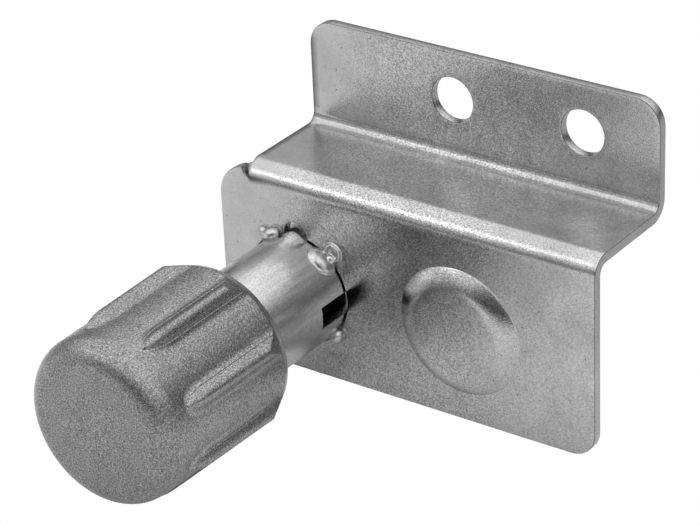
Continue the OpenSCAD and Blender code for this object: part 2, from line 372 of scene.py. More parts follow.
def outward(loop):
    """The direction out of the sheet at each point, for a counter-clockwise rim or a clockwise hole."""
    count = len(loop)
    result = []
    for i in range(count):
        before = (loop[i] - loop[i - 1]).normalized()
        after = (loop[(i + 1) % count] - loop[i]).normalized()
        normal = Vector((before.y + after.y, -before.x - after.x))
        normal.normalize()
        cosine = max(0.5, normal.dot(Vector((after.y, -after.x))))
        result.append(normal / cosine)
    return result


def inside(points, loops):
    """Which of the points lie in the sheet: within the rim and outside the holes."""
    points = np.asarray(points)
    odd = np.zeros(len(points), bool)
    for loop in loops:
        ring = np.array([(p.x, p.y) for p in loop])
        ends = np.roll(ring, -1, axis=0)
        for (x0, y0), (x1, y1) in zip(ring, ends):
            if y0 == y1:
                continue
            crosses = (y0 > points[:, 1]) != (y1 > points[:, 1])
            reach = x0 + (points[:, 1] - y0) * (x1 - x0) / (y1 - y0)
            odd ^= crosses & (points[:, 0] < reach)
    return odd


def spaced(points, least):
    """The points without those that lie nearer than least to one before them."""
    kept = {}
    for u, v in points:
        cell = (int(u // least), int(v // least))
        around = [kept.get((cell[0] + i, cell[1] + j)) for i in (-1, 0, 1) for j in (-1, 0, 1)]
        if all(q is None or math.hypot(q[0] - u, q[1] - v) >= least for q in around):
            kept[cell] = (u, v)
    return list(kept.values())


def sheet(loops, inner_points, thickness, front_r, back_r):
    """A flat sheet of even thickness with rounded edges, as points (u, v, depth) and faces."""
    rims = [outward(loop) for loop in loops]
    front_turns = np.linspace(0, math.pi / 2, 5)
    back_turns = np.linspace(0, math.pi / 2, 4)
    rings = [(-front_r * (1 - math.sin(a)), front_r * (1 - math.cos(a))) for a in front_turns]
    rings += [(-back_r * (1 - math.cos(a)), thickness - back_r * (1 - math.sin(a))) for a in back_turns]
    points = []
    faces = []
    ring_ids = []
    for loop, rim in zip(loops, rims):
        levels = []
        for shift, depth in rings:
            start = len(points)
            points += [(p.x + n.x * shift, p.y + n.y * shift, depth) for p, n in zip(loop, rim)]
            levels.append(list(range(start, len(points))))
        for upper, lower in zip(levels, levels[1:]):
            for i in range(len(loop)):
                j = (i + 1) % len(loop)
                faces.append([upper[i], upper[j], lower[j], lower[i]])
        ring_ids.append((levels[0], levels[-1]))
    for side, depth in ((0, 0.0), (1, thickness)):
        ids = []
        flat = []
        edges = []
        for pair in ring_ids:
            start = len(flat)
            flat += [Vector(points[i][:2]) for i in pair[side]]
            ids += pair[side]
            count = len(pair[side])
            edges += [(start + i, start + (i + 1) % count) for i in range(count)]
        tree = kdtree.KDTree(len(flat))
        for i, p in enumerate(flat):
            tree.insert((p.x, p.y, 0), i)
        tree.balance()
        for u, v in spaced(inner_points[inside(inner_points, loops)], LEAST_GAP):
            if tree.find((u, v, 0))[2] > RIM_GAP:
                ids.append(len(points))
                points.append((u, v, depth))
                flat.append(Vector((u, v)))
        _, _, triangles, origins, _, _ = delaunay_2d_cdt(flat, edges, [], 0, 1e-7)
        if len(origins) != len(flat):
            raise ValueError("the sheet's outline crosses or touches itself")
        source = [o[0] for o in origins]
        centres = [[sum(flat[source[i]][k] for i in t) / 3 for k in (0, 1)] for t in triangles]
        cut_loops = [flat[first:last] for first, last in spans([len(p[side]) for p in ring_ids])]
        good = inside(centres, cut_loops)
        for triangle, ok in zip(triangles, good):
            if ok:
                face = [ids[source[i]] for i in triangle]
                faces.append(face if side == 0 else face[::-1])
    return points, faces


def spans(lengths):
    """The first and last index of stretches that follow each other."""
    result = []
    start = 0
    for length in lengths:
        result.append((start, start + length))
        start += length
    return result


def boss_radius(turn):
    """The boss's foot, a little flat along one diagonal."""
    return BOSS_R - BOSS_FLAT * (1 + math.cos(2 * (turn - BOSS_FLAT_TURN)))


def boss_profile():
    """The boss's rise at distances in from its foot: a wall that leans back, then the rounded shoulder."""
    into = np.linspace(0, 6, 241)
    lean = np.clip((into - BOSS_FOOT) / (BOSS_WALL - BOSS_FOOT), 0, 1)
    slope = BOSS_FOOT_SLOPE + (BOSS_TOP_SLOPE - BOSS_FOOT_SLOPE) * lean
    fade = np.clip((into - BOSS_WALL) / BOSS_SHOULDER, 0, 1)
    slope *= 1 - fade * fade * (3 - 2 * fade)
    return into, np.concatenate([[0], np.cumsum(slope[:-1]) * (into[1] - into[0])])


BOSS_INTO, BOSS_LEVEL = boss_profile()


def boss_rise(u, v):
    """How far the boss lifts the sheet: a small step at the foot, then the wall and the flat top."""
    du = u - BOSS_X
    dv = v + BOTTOM_Z - BOSS_Z
    into = boss_radius(math.atan2(dv, du)) - math.hypot(du, dv)
    step = BOSS_STEP * smooth((into - BOSS_STEP_FROM) / BOSS_STEP_RUN)
    return step + float(np.interp(into, BOSS_INTO, BOSS_LEVEL))


def ripple(u, v):
    """The slight waviness of pressed sheet, in millimetres."""
    broad = noise.noise((u / 24, v / 24, 3.1)) * 0.05
    fine = noise.noise((u / 8, v / 8, 8.4)) * 0.008
    return broad + fine


def bent_point(v, depth):
    """Y and Z of the bent sheet at length v along its front."""
    if v < BEND_V:
        return PLATE_Y + depth, BOTTOM_Z + v
    if v < SHELF_V:
        turn = (v - BEND_V) / BEND_OUT
        r = BEND_OUT - depth
        return PLATE_Y + BEND_OUT - r * math.cos(turn), SHELF_Z - BEND_OUT + r * math.sin(turn)
    if v < INNER_V:
        return PLATE_Y + BEND_OUT + v - SHELF_V, SHELF_Z - depth
    if v < FLANGE_V:
        turn = (v - INNER_V) / BEND_R
        r = BEND_R + depth
        return -BEND_OUT + r * math.sin(turn), SHELF_Z + BEND_R - r * math.cos(turn)
    return -SHEET_T + depth, SHELF_Z + BEND_R + v - FLANGE_V


def place_bracket(u, v, depth):
    """The blank's point (u, v, depth) in the part's frame. The ear stays flat beside the bend."""
    flat_y = PLATE_Y + depth
    flat_z = BOTTOM_Z + v
    bent_y, bent_z = bent_point(v, depth)
    beside_ear = smooth((u - LEFT_X + 0.8) / 1.7)
    above_ear = smooth((v - EAR_V - 0.1) / 0.9)
    share = max(beside_ear, above_ear)
    if v < BEND_V:
        share = 1.0
        bent_y -= boss_rise(u, v) + ripple(u, v)
    y = flat_y + (bent_y - flat_y) * share
    z = flat_z + (bent_z - flat_z) * share
    return u, y, z


def bracket_points():
    """Points inside the blank: even in the flats, close in the bends, in rings on the boss."""
    result = []
    grid = 1.4
    margin = 0.9
    for u in np.arange(EAR_X + grid / 2, RIGHT_X, grid):
        for v in np.arange(grid / 2, TOP_V, grid):
            in_bend = BEND_V - margin < v < SHELF_V + margin or INNER_V - margin < v < FLANGE_V + margin
            if not in_bend and math.hypot(u - BOSS_X, v - BOSS_V) > BOSS_R + 1.2:
                result.append((u, v))
    for u in np.arange(LEFT_X + 4.6, RIGHT_X, grid):
        for v in np.linspace(BEND_V, SHELF_V, 25):
            result.append((u, v))
    for u in np.arange(LEFT_X + 0.7, RIGHT_X, 1.2):
        for v in np.linspace(INNER_V, FLANGE_V, 17):
            result.append((u, v))
    for u in np.arange(LEFT_X - 2.0, LEFT_X + 4.3, FINE_GRID):
        for v in np.arange(BEND_V - 0.6, SHELF_V + 0.8, FINE_GRID):
            result.append((u, v))
    for count, distances in BOSS_RINGS:
        for into in distances:
            result += boss_ring(into, count)
    for gap in (0.52, 0.95):
        result += [(p.x, p.y) for p in circle(AXIS_X, AXIS_V, HOLE_R + gap, 140)]
    return np.array(result)


def boss_ring(into, count):
    """A ring of points that follows the boss's foot, into millimetres inside it."""
    ring = []
    for i in range(count):
        turn = 2 * math.pi * i / count
        r = boss_radius(turn) - into
        ring.append((BOSS_X + r * math.cos(turn), BOSS_V + r * math.sin(turn)))
    return ring


def band(value, centre, half_width):
    """1 at the centre of a band, down to 0 at its edges."""
    return smooth(1 - abs(value - centre) / half_width)


def bracket_shade_and_dirt(u, v, depth):
    """Painted shadow on the hole wall, dark edge lines, painted shade and dirt in the crease, painted shade
    in the ear's valley.
    """
    x = u - AXIS_X
    z = v + BOTTOM_Z - AXIS_Z
    r = math.hypot(x, z)
    turn = math.degrees(math.atan2(z, x))
    # painted shadow: the wall of the tube's hole, away from the notch, is painted dark so the gap round the
    # tube looks black
    on_hole_wall = r < HOLE_R + 0.12 and abs(turn - 90) > 15
    shade_and_dirt = 1.0 if on_hole_wall else 0.0
    on_front_edge = 0.02 < depth < FRONT_EDGE_R - 0.01
    on_back_edge = SHEET_T - BACK_EDGE_R + 0.01 < depth < SHEET_T - 0.01
    # dark lines painted along the sheet's rounded front and back edges
    if on_front_edge or on_back_edge:
        shade_and_dirt = max(shade_and_dirt, EDGE_LINE_DARKNESS)
    if depth < 0.03:
        # painted shade and dirt: a dark line along the concave crease of the upper bend
        crease_v = INNER_V + BEND_R * math.radians(CREASE_TURN)
        shade_and_dirt = max(shade_and_dirt, CREASE_SHADE_AND_DIRT * band(v, crease_v, 0.42))
        # painted shade: a dark band in the valley where the ear meets the lower bend, and up beside the
        # ear's edge
        valley_v = BEND_V + 1.1 + 2.2 * smooth((LEFT_X + 1.2 - u) / 1.6)
        down = band(v, valley_v, 1.0) * smooth((LEFT_X + 7 - u) / 6) * smooth((u - LEFT_X + 0.9) / 0.5)
        up = band(u, LEFT_X + 0.15, 0.75) * smooth((v - BEND_V - 1.6) / 1.0)
        shade_and_dirt = max(shade_and_dirt, VALLEY_SHADE * max(down, up))
    return shade_and_dirt


def tube_hole():
    """The tube's hole with its key notch, clockwise."""
    half = 2 * math.asin(NOTCH_R / 2 / HOLE_R)
    start = math.pi / 2 - half
    sweep = 2 * math.pi - 2 * half
    steps = 110
    ring = [polar(AXIS_X, AXIS_V, HOLE_R, start - sweep * k / steps) for k in range(steps + 1)]
    top_v = AXIS_V + HOLE_R
    first = (ring[-1] - Vector((AXIS_X, top_v))).normalized()
    a0 = math.atan2(first.y, first.x) % (2 * math.pi)
    arc = 2 * (a0 - math.pi / 2)
    notch_steps = 20
    notch = [polar(AXIS_X, top_v, NOTCH_R, a0 - arc * k / notch_steps) for k in range(1, notch_steps)]
    return ring + notch


def make_bracket(material):
    """The stepped bracket, bent from a flat blank with its holes, its ear and its boss."""
    ear_x = EAR_X + EAR_R
    ear_v = EAR_V - EAR_R
    ear_arc = [
        (ear_x + EAR_R * math.cos(a), ear_v + EAR_R * math.sin(a), 0)
        for a in np.linspace(EAR_START, math.pi, 16)
    ]
    rim = rounded(
        [
            (EAR_X, 0, CORNER_R),
            (RIGHT_X, 0, CORNER_R),
            (RIGHT_X, TOP_V, CORNER_R),
            (LEFT_X, TOP_V, CORNER_R),
            (LEFT_X, SHELF_V + 0.2, 0.6),
            (LEFT_X + 0.35, EAR_V + 1.1, 0.3),
            *ear_arc,
        ],
        14,
    )

    def spacing(p):
        near_bend = BEND_V - 1.5 < p.y < SHELF_V + 1.5 or INNER_V - 1.5 < p.y < FLANGE_V + 1.5
        return FINE_GRID if near_bend else 0.9

    bolt_v = TOP_V - TOP_Z
    loops = [
        resample(rim, spacing),
        circle(-BOLT_X, bolt_v, BOLT_HOLE_R, 72),
        circle(BOLT_X, bolt_v, BOLT_HOLE_R, 72),
        tube_hole(),
    ]
    blank, faces = sheet(loops, bracket_points(), SHEET_T, FRONT_EDGE_R, BACK_EDGE_R)
    points = [place_bracket(*p) for p in blank]
    shade_and_dirt = [bracket_shade_and_dirt(*p) for p in blank]
    make_piece(
        "stepped_bracket", points, faces, "bracket", ["mounting_bracket"], material, 50, shade_and_dirt
    )


def lug_rise(turn, s):
    """How far the pressed lug lifts the tube's wall: a round-topped bump that fades away from the plate."""
    across = (turn - LUG_TURN) * TUBE_R
    reach = LUG_HALF_W - 0.3 * max(0.0, s)
    if abs(across) > reach:
        return 0.0
    dome = math.cos(across / reach * math.pi / 2) ** 1.3
    run = 1 - smooth((s + 1.2) / 6.5)
    back = smooth((s + 3.4) / 1.4)
    return LUG_OUT * dome * run * back


def tube_turns(slot_half):
    """The tube mesh's directions, with columns exactly on the slots' edges."""
    edges = [c + side * slot_half for c in (0.0, math.pi) for side in (-1, 1)]
    columns = 288
    least_turn = 0.004
    even = np.round(np.linspace(-math.pi / 2, 1.5 * math.pi, columns, endpoint=False), 6)
    turns = sorted(set(even) | {round(edge, 6) for edge in edges})
    turns = [t for i, t in enumerate(turns) if t - turns[i - 1] > least_turn or i == 0]
    for edge in edges:
        nearest = min(range(len(turns)), key=lambda i: abs(turns[i] - edge))
        turns[nearest] = edge
    return turns


def tube_stations():
    """The tube mesh's rows: close at the lug and slots, wider along the rest."""
    near_step = 0.485
    far_step = 1.253
    near = np.arange(TUBE_BACK_S, SLOT_END_S, near_step)
    far = np.arange(SLOT_END_S, TUBE_FRONT_S, far_step)
    return sorted(set(round(s, 4) for s in [*near, *far, TUBE_FRONT_S]))


def make_tube(material):
    """The tube, with its two slots, its pressed lug and the lip rolled in at its front."""
    slot_half = math.asin(SLOT_W / 2 / TUBE_R)
    turns = tube_turns(slot_half)
    stations = tube_stations()

    def in_slot(t, s):
        near = min(abs(t), abs(t - math.pi))
        return s < SLOT_END_S and near < slot_half

    outer = {}
    inner = {}
    points = []
    shade_and_dirt = []
    for i, turn in enumerate(turns):
        for j, s in enumerate(stations):
            lift = lug_rise(turn, s)
            outer[i, j] = len(points)
            points.append(on_axis(TUBE_R + lift, turn, s))
            # painted shadow on the tube where it passes through the plate's hole, less of it at the notch
            in_hole = smooth((0.05 - s) / 0.3) * smooth((s + SHEET_T + 0.6) / 0.5)
            beside_notch = abs(turn - math.pi / 2) > 0.24
            shade_and_dirt.append(in_hole * (GAP_SHADOW if beside_notch else NOTCH_GAP_SHADOW))
            inner[i, j] = len(points)
            lip = LIP_DEPTH * smooth((s - LIP_S) / 0.15)
            points.append(on_axis(BORE_R + lift * 0.8 - lip, turn, s))
            # painted shade inside the bore, fading towards the front; the slot walls get only a little of it
            from_slot = min(abs(turn), abs(turn - math.pi)) - slot_half
            at_slot = abs(from_slot) < 0.03 and s < SLOT_END_S + 0.3
            shade_and_dirt.append(SLOT_WALL_SHADE if at_slot else BORE_SHADE * smooth((SLOT_END_S + 14 - s) / 10))
    faces = []
    rows = len(stations) - 1
    count = len(turns)

    def solid_cell(i, j):
        if j < 0 or j >= rows:
            return False
        a = turns[i % count]
        b = turns[(i + 1) % count]
        if b < a:
            b += 2 * math.pi
        middle = (a + b) / 2
        return not in_slot(middle, (stations[j] + stations[j + 1]) / 2)

    for i in range(count):
        n = (i + 1) % count
        for j in range(rows):
            if not solid_cell(i, j):
                continue
            faces.append([outer[i, j], outer[n, j], outer[n, j + 1], outer[i, j + 1]])
            faces.append([inner[i, j], inner[i, j + 1], inner[n, j + 1], inner[n, j]])
            if not solid_cell(i - 1, j):
                faces.append([outer[i, j], outer[i, j + 1], inner[i, j + 1], inner[i, j]])
            if not solid_cell(i + 1, j):
                faces.append([outer[n, j], inner[n, j], inner[n, j + 1], outer[n, j + 1]])
            if not solid_cell(i, j - 1):
                faces.append([outer[i, j], inner[i, j], inner[n, j], outer[n, j]])
            if not solid_cell(i, j + 1):
                faces.append([outer[i, j + 1], outer[n, j + 1], inner[n, j + 1], inner[i, j + 1]])
    used = sorted({v for f in faces for v in f})
    renumber = {v: k for k, v in enumerate(used)}
    points = [points[v] for v in used]
    shade_and_dirt = [shade_and_dirt[v] for v in used]
    faces = [[renumber[v] for v in f] for f in faces]
    make_piece("guide_tube", points, faces, "bracket", ["spring_tube"], material, 40, shade_and_dirt)


def make_blob(name, lobes, node, material, seed):
    """A weld tack: lobes melted into one bead.

    A lobe is (radius from the axis, turn in degrees, s, size, stretch outward, round the tube and along it).
    """
    lump = bmesh.new()
    for r, turn, s, size, stretch in lobes:
        turn = math.radians(turn)
        centre = Vector(on_axis(r, turn, s))
        radial = Vector((math.cos(turn), 0, math.sin(turn)))
        along = Vector((0, -1, 0))
        side = radial.cross(along)
        shape = Matrix((radial * stretch[0], side * stretch[1], along * stretch[2])).transposed().to_4x4()
        bmesh.ops.create_icosphere(
            lump, subdivisions=4, radius=size, matrix=Matrix.Translation(centre) @ shape
        )
    mesh = bpy.data.meshes.new(name)
    lump.to_mesh(mesh)
    lump.free()
    raw = bpy.data.objects.new(name + "_raw", mesh)
    bpy.context.scene.collection.objects.link(raw)
    remesh = raw.modifiers.new("melt", "REMESH")
    remesh.mode = "VOXEL"
    remesh.voxel_size = BEAD_VOXEL
    soften = raw.modifiers.new("soften", "SMOOTH")
    soften.iterations = 5
    soften.factor = 0.5
    bpy.context.view_layer.update()
    solid = bpy.data.meshes.new_from_object(raw.evaluated_get(bpy.context.evaluated_depsgraph_get()))
    points = []
    for vertex in solid.vertices:
        p = vertex.co.copy()
        bump = noise.noise((p.x * 0.6 + seed, p.y * 0.6, p.z * 0.6)) * BEAD_UNEVEN
        points.append(tuple(p + vertex.normal * bump))
    faces = [list(polygon.vertices) for polygon in solid.polygons]
    bpy.data.objects.remove(raw)
    make_piece(name, points, faces, "bracket", [node], material, 80)


def make_tacks(material):
    """The weld tacks. The upper right one is a bead on the tube and a ring of metal on the plate."""
    pool_r = 13.1
    pool_turn = 49.0
    ring_r = 1.45
    ring = []
    for around in range(-125, 126, 12):
        a = math.radians(around)
        turn = pool_turn + math.degrees(ring_r * math.sin(a) / pool_r)
        ring.append((pool_r + ring_r * math.cos(a), turn, 0.45, 0.42, (1, 1, 1)))
    upper_right = [
        (11.0, 50, 1.6, 2.2, (0.6, 1.3, 1.0)),
        (10.9, 50, 1.6, 2.6, (0.26, 1.25, 1.0)),
        (pool_r, pool_turn, 0.0, 2.05, (1.0, 1.1, 0.26)),
        (12.3, 46, 0.7, 0.8, (1.0, 1.2, 1.0)),
        *ring,
    ]
    make_blob("bead_upper_right", upper_right, "weld_tack_upper_right", material, 1.7)
    upper_left = [
        (11.7, 116, 0.6, 1.5, (0.85, 1.25, 1.0)),
        (12.3, 126, 0.3, 1.4, (1.0, 1.0, 0.7)),
    ]
    make_blob("bead_upper_left", upper_left, "weld_tack_upper_left", material, 5.2)
    lower_right = [(11.7, -39, 0.7, 1.5, (0.95, 1.1, 1.0))]
    make_blob("bead_lower_right", lower_right, "weld_tack_lower_right", material, 9.1)
    lower_left = [(11.7, -137, 0.7, 1.4, (0.95, 1.15, 1.0))]
    make_blob("bead_lower_left", lower_left, "weld_tack_lower_left", material, 12.4)


def knob_radius(s):
    """The knob's outer radius without its ribs: a turned chamfer at the rear, then a slight taper."""
    t = (s - KNOB_BACK_S) / (KNOB_FRONT_S - KNOB_EDGE_R - KNOB_BACK_S)
    body = KNOB_REAR_R + (KNOB_FRONT_R - KNOB_REAR_R) * min(1.0, t)
    return min(body, chamfer_radius(s))


def chamfer_radius(s):
    """The radius to which the rear chamfer is turned."""
    return RIM_R + CHAMFER_SLOPE * (s - KNOB_BACK_S)


def rib_nose(s):
    """1 along a rib, rounded down to 0 at its front tip."""
    over = (s - RIB_NOSE_S) / (RIB_TIP_S - RIB_NOSE_S)
    return math.sqrt(max(0.0, 1 - max(0.0, over) ** 2))


def rib_half_width(s):
    """Half the width of a rib, narrower at its nose."""
    return max(0.3, RIB_HALF_W * rib_nose(s))


def rib_height(across, s):
    """How far a rib stands out of the knob, across millimetres from its middle."""
    along = min(1.0, (s - KNOB_BACK_S) / (RIB_TIP_S - KNOB_BACK_S))
    height = (RIB_H + (RIB_H_FRONT - RIB_H) * along) * rib_nose(s)
    t = abs(across) / rib_half_width(s)
    if t < 1:
        return height * math.cos(t * math.pi / 2) ** 0.9
    return 0.0


def knob_columns(s):
    """Directions round the knob at s, each with its rib's number, and with a column on each rib's edges."""
    half = rib_half_width(s) / knob_radius(s)
    gap = RIB_PITCH - 2 * half
    on_rib = np.linspace(-math.pi / 2, math.pi / 2, ON_RIB)[:-1]
    between = np.linspace(0, math.pi, BETWEEN_RIBS)[:-1]
    turns = []
    for rib in range(RIBS):
        middle = RIB_TURN + rib * RIB_PITCH
        turns += [(middle + half * math.sin(a), rib) for a in on_rib]
        turns += [(middle + half + gap * (1 - math.cos(a)) / 2, rib) for a in between]
    return turns


def knob_side(turn, rib, s):
    """The knob's radius at a direction: body, rib and the rib's foot, turned down by the rear chamfer."""
    body = knob_radius(s)
    across = (turn - RIB_TURN - rib * RIB_PITCH) * body
    half = rib_half_width(s)
    from_rib = min(abs(abs(across) - half), abs(RIB_PITCH * body - half - across))
    foot = RIB_FOOT * max(0.0, 1 - from_rib / RIB_FOOT_W) ** 2 * rib_nose(s)
    uneven = KNOB_UNEVEN * noise.noise((turn * 8, s * 0.4, 1.0))
    return min(chamfer_radius(s), body + math.hypot(rib_height(across, s), foot) + uneven)


def make_knob(material):
    """The knob, row by row: its inside from the seat to the rim, its ribbed side, then its round front."""
    columns = RIBS * (ON_RIB + BETWEEN_RIBS - 2)
    points = []
    rows = []
    shade_and_dirt = []

    def add_row(turns, radius, s, inside_shade=0.0):
        rows.append(len(points))
        for turn, rib in turns:
            r = radius(turn, rib) if callable(radius) else radius
            points.append(on_axis(r, turn, s))
            shade_and_dirt.append(inside_shade)

    back = knob_columns(KNOB_BACK_S)
    inside_rows = [
        (SEAT_R, SEAT_S),
        (SEAT_R, HUB_S + 0.3),
        (SEAT_R + 0.3, HUB_S),
        (HUB_R - 0.3, HUB_S),
        (HUB_R, HUB_S + 0.3),
        (HUB_R, CUP_FLOOR_S - 0.4),
        (HUB_R + 0.4, CUP_FLOOR_S),
        (KNOB_BORE_R - 0.4, CUP_FLOOR_S),
        (KNOB_BORE_R, CUP_FLOOR_S - 0.4),
        (KNOB_BORE_R, 45.0),
        (KNOB_BORE_R, 35.0),
        (KNOB_BORE_R, KNOB_BACK_S + 0.3),
        (KNOB_BORE_R + 0.3, KNOB_BACK_S),
        (RIM_R - 0.25, KNOB_BACK_S),
    ]
    for r, s in inside_rows:
        # painted shade fills the knob's seat, hub, cup floor and bore
        add_row(back, r, s, 1.0 if r <= KNOB_BORE_R else 0.0)
    edge_s = KNOB_FRONT_S - KNOB_EDGE_R
    stations = np.concatenate(
        [
            np.linspace(KNOB_BACK_S + 0.15, KNOB_BACK_S + 7.5, 26),
            np.linspace(KNOB_BACK_S + 7.5, RIB_NOSE_S, 14)[1:],
            np.linspace(RIB_NOSE_S, RIB_TIP_S, 24)[1:],
            np.linspace(RIB_TIP_S, edge_s, 6)[1:],
        ]
    )
    for s in stations:
        add_row(knob_columns(s), lambda turn, rib, s=s: knob_side(turn, rib, s), s)
    front = knob_columns(KNOB_FRONT_S)
    flat_r = KNOB_FRONT_R - KNOB_EDGE_R
    for a in np.linspace(0.08, math.pi / 2, 16):
        r = flat_r + KNOB_EDGE_R * math.cos(a)
        add_row(front, r, KNOB_FRONT_S - KNOB_CROWN - KNOB_EDGE_R * (1 - math.sin(a)))
    for t in (0.86, 0.72, 0.58, 0.44, 0.3, 0.16, 0.05):
        add_row(front, flat_r * t, KNOB_FRONT_S - KNOB_CROWN * t * t)
    faces = []
    for upper, lower in zip(rows, rows[1:]):
        for k in range(columns):
            n = (k + 1) % columns
            faces.append([upper + k, upper + n, lower + n, lower + k])
    # painted shade on the seat's middle, none on the front face's
    for row, s, inside_shade in ((rows[0], SEAT_S, 1.0), (rows[-1], KNOB_FRONT_S, 0.0)):
        centre = len(points)
        points.append(on_axis(0, 0, s))
        shade_and_dirt.append(inside_shade)
        faces += [[row + k, row + (k + 1) % columns, centre] for k in range(columns)]
    make_piece("ribbed_knob", points, faces, "plunger", ["knob"], material, 55, shade_and_dirt)


def make_bolt(material):
    """The bolt, from its coned nose over its collar to the socket for the rod."""
    profile = rounded(
        [
            (0, NOSE_TIP_S, 0),
            (NOSE_R - NOSE_CONE, NOSE_TIP_S, 0.5),
            (NOSE_R, NOSE_TIP_S + NOSE_CONE, 0.5),
            (NOSE_R, COLLAR_BACK_S, 0.25),
            (COLLAR_R, COLLAR_BACK_S, 0.35),
            (COLLAR_R, COLLAR_FRONT_S, 0.35),
            (SOCKET_R, COLLAR_FRONT_S, 0.2),
            (SOCKET_R, SOCKET_S, 0.2),
            (0, SOCKET_S, 0),
        ],
        4,
    )
    points, faces = turned([(p.x, p.y) for p in profile], 96)
    make_piece("sliding_bolt", points, faces, "plunger", ["plunger_bolt"], material, 35)


def spring_rise(t):
    """How far the wire has climbed after t turns. The first and last turn lie closer."""
    middle_rise = (SPRING_FRONT_S - SPRING_BACK_S - 2 * SPRING_END_RISE) / (SPRING_TURNS - 2)
    if t < 1:
        return t * SPRING_END_RISE
    if t > SPRING_TURNS - 1:
        return SPRING_END_RISE * (t - SPRING_TURNS + 2) + (SPRING_TURNS - 2) * middle_rise
    return SPRING_END_RISE + (t - 1) * middle_rise


def make_spring(material):
    """The spring, with a mesh of its own. A pull on the knob would squash it against its front seat; here it
    stays as built.
    """
    per_turn = 28
    sides = 12
    rings = SPRING_TURNS * per_turn + 1
    points = []
    for i in range(rings):
        t = i / per_turn
        rise = spring_rise(t)
        for k in range(sides):
            a = 2 * math.pi * k / sides
            r = SPRING_COIL_R + SPRING_WIRE_R * math.cos(a)
            points.append(on_axis(r, 2 * math.pi * t, SPRING_BACK_S + rise + SPRING_WIRE_R * math.sin(a)))
    faces = []
    for i in range(rings - 1):
        for k in range(sides):
            n = (k + 1) % sides
            faces.append([i * sides + k, i * sides + n, (i + 1) * sides + n, (i + 1) * sides + k])
    faces.append(list(range(sides)))
    faces.append(list(range((rings - 1) * sides, rings * sides))[::-1])
    piece = make_piece(
        "coil_spring", points, faces, "bracket", ["compression_spring"], material, 60
    )
    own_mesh(piece)


class Nodes:
    """A short way to wire a material or a world."""

    def __init__(self, owner):
        owner.use_nodes = True
        self.owner = owner
        self.tree = owner.node_tree
        self.coordinates = self.tree.nodes.new("ShaderNodeTexCoord")

    def link(self, source, target):
        self.tree.links.new(source, target)

    def split(self, vector):
        """The vector's X, Y and Z."""
        node = self.tree.nodes.new("ShaderNodeSeparateXYZ")
        self.link(vector, node.inputs["Vector"])
        return node.outputs

    def spread(self, value, low, high, first=0.0, last=1.0):
        """From first, where the value is low or less, to last, where it is high or more."""
        node = self.tree.nodes.new("ShaderNodeMapRange")
        node.inputs["From Min"].default_value = low
        node.inputs["From Max"].default_value = high
        node.inputs["To Min"].default_value = first
        node.inputs["To Max"].default_value = last
        self.link(value, node.inputs["Value"])
        return node.outputs["Result"]

    def ramp(self, value, stops):
        """Greys that follow the value, from stops (value, grey)."""
        node = self.tree.nodes.new("ShaderNodeValToRGB")
        while len(node.color_ramp.elements) < len(stops):
            node.color_ramp.elements.new(0.5)
        for element, (position, level) in zip(node.color_ramp.elements, stops):
            element.position = position
            element.color = (level, level, level, 1)
        self.link(value, node.inputs["Fac"])
        return node.outputs["Color"]

    def math(self, operation, *values):
        node = self.tree.nodes.new("ShaderNodeMath")
        node.operation = operation
        for socket, value in zip(node.inputs, values):
            if isinstance(value, (int, float)):
                socket.default_value = value
            else:
                self.link(value, socket)
        return node.outputs["Value"]

    def mix(self, kind, share, a, b):
        node = self.tree.nodes.new("ShaderNodeMix")
        node.data_type = "RGBA"
        node.blend_type = kind
        for socket, value in ((node.inputs["Factor"], share), (node.inputs[6], a), (node.inputs[7], b)):
            if isinstance(value, (int, float)):
                socket.default_value = value
            elif isinstance(value, tuple):
                socket.default_value = (*value, 1)
            else:
                self.link(value, socket)
        return node.outputs[2]

    def seen_directly(self, plain, shader, output):
        """Shows plain where the camera looks straight at it, and the shader to everything else."""
        path = self.tree.nodes.new("ShaderNodeLightPath")
        choose = self.tree.nodes.new("ShaderNodeMixShader")
        self.link(path.outputs["Is Camera Ray"], choose.inputs["Fac"])
        self.link(shader, choose.inputs[1])
        self.link(plain, choose.inputs[2])
        self.link(choose.outputs["Shader"], self.tree.nodes[output].inputs["Surface"])


